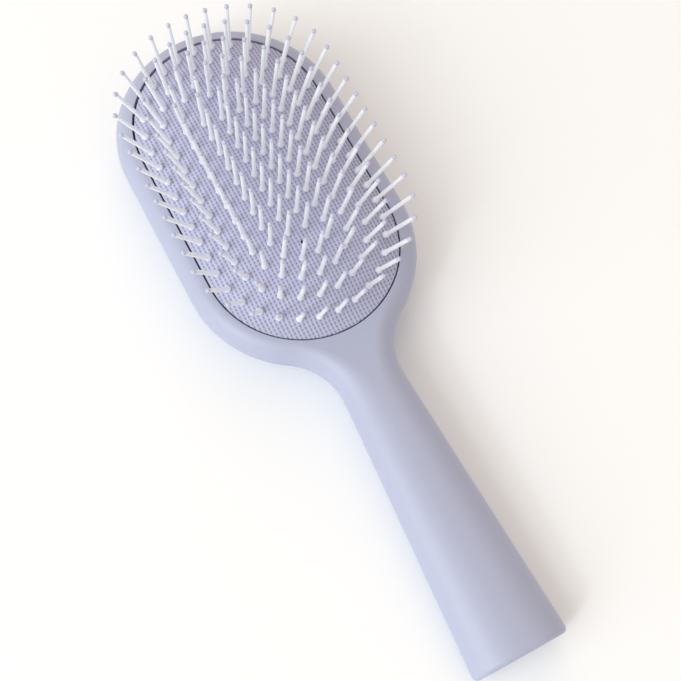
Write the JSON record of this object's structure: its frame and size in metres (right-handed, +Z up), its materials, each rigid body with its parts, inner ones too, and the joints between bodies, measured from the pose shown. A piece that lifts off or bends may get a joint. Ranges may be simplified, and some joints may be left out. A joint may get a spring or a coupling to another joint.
{
  "type": "cushion brush",
  "caption": "Paddle cushion hair brush: a domed air-cushion pad with splayed ball-tipped pins in a rounded head, on a handle that flares to a flat foot.",
  "frame": {"origin": "on the surface the brush lies on, under the middle of its length", "axes": "+Y along the brush from the foot of the handle to the tip of the head, +Z up out of the pad, +X across the head"},
  "size_m": [0.0794, 0.239, 0.0444],
  "materials": {
    "lavender_plastic": "satin moulded plastic",
    "lavender_rubber": "matt rubber with a fine woven look",
    "white_nylon": "smooth nylon with dipped ball tips"
  },
  "bodies": {
    "brush": {"brush_body": "lavender_plastic", "handle_foot_plug": "lavender_plastic", "cushion_pad": "lavender_rubber"},
    "middle_pins": {"pins_middle": "white_nylon"},
    "third_pins": {"pins_third_ring": "white_nylon"},
    "second_pins": {"pins_second_ring": "white_nylon"},
    "outer_pins": {"pins_outer_ring": "white_nylon"}
  },
  "joints": [
    {"name": "cushion_press", "type": "slide", "parent": "brush", "child": "middle_pins", "axis": [0, 0, -1], "range_m": [0, 0.003], "stiffness_N_per_m": 1500, "deforming": ["cushion_pad"]},
    {"name": "third_ring_press", "type": "slide", "parent": "brush", "child": "third_pins", "axis": [0, 0, -1], "range_m": [0, 0.0028]},
    {"name": "second_ring_press", "type": "slide", "parent": "brush", "child": "second_pins", "axis": [0, 0, -1], "range_m": [0, 0.0022]},
    {"name": "outer_ring_press", "type": "slide", "parent": "brush", "child": "outer_pins", "axis": [0, 0, -1], "range_m": [0, 0.0011]}
  ],
  "couplings": [
    {"joint": "third_ring_press", "follows": "cushion_press", "ratio": 0.898},
    {"joint": "second_ring_press", "follows": "cushion_press", "ratio": 0.698},
    {"joint": "outer_ring_press", "follows": "cushion_press", "ratio": 0.344}
  ]
}
